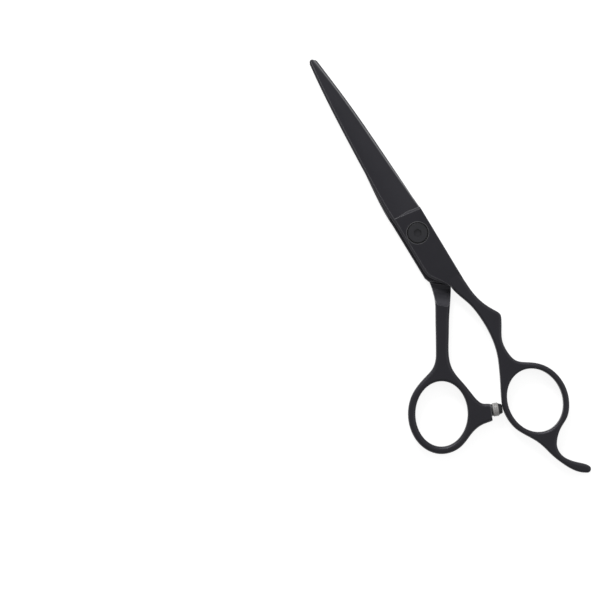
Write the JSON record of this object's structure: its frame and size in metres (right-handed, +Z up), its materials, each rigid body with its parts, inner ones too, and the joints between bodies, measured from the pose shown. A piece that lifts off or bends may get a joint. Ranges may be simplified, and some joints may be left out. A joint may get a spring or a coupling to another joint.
{
  "type": "hair cutting shears",
  "caption": "Offset-handle hair cutting shears with straight blades, an adjustable pivot, two finger rings, a fixed finger rest and a bumper between the rings.",
  "frame": {"origin": "on the pivot axis, at the surface the shears lie on, at the pivot nut's outer face", "axes": "+Y along the closed blades to the tip, +X towards the finger ring's side, +Z up through the pivot, from the thumb half to the finger half"},
  "size_m": [0.0531, 0.1693, 0.0052],
  "materials": {
    "black_steel": "matt black coated forged steel, slightly bluish",
    "screw_black": "matt black coated screw",
    "nut_steel": "turned stainless steel",
    "spring_steel": "bright spring steel",
    "bush_brass": "turned bronze",
    "washer_nylon": "natural nylon",
    "stud_black": "black oxide steel",
    "collar_grey": "satin grey plastic",
    "tip_rubber": "black rubber"
  },
  "bodies": {
    "finger_half": {"finger_blade": "black_steel", "slide_washer": "washer_nylon", "disc_spring": "spring_steel", "pivot_bush": "bush_brass"},
    "thumb_half": {"thumb_blade": "black_steel", "pivot_nut": "nut_steel", "glide_washer": "washer_nylon", "bumper_stud": "stud_black", "bumper_collar": "collar_grey", "bumper_tip": "tip_rubber"},
    "tension_screw": {"pivot_screw": "screw_black"}
  },
  "joints": [
    {"name": "blade_pivot", "type": "hinge", "parent": "finger_half", "child": "thumb_half", "pos_m": [0, 0, 0], "axis": [0, 0, -1], "range_deg": [0, 70]},
    {"name": "tension_adjust", "type": "hinge", "parent": "thumb_half", "child": "tension_screw", "pos_m": [0, 0, 0], "axis": [0, 0, 1], "range_deg": [-90, 90]}
  ]
}
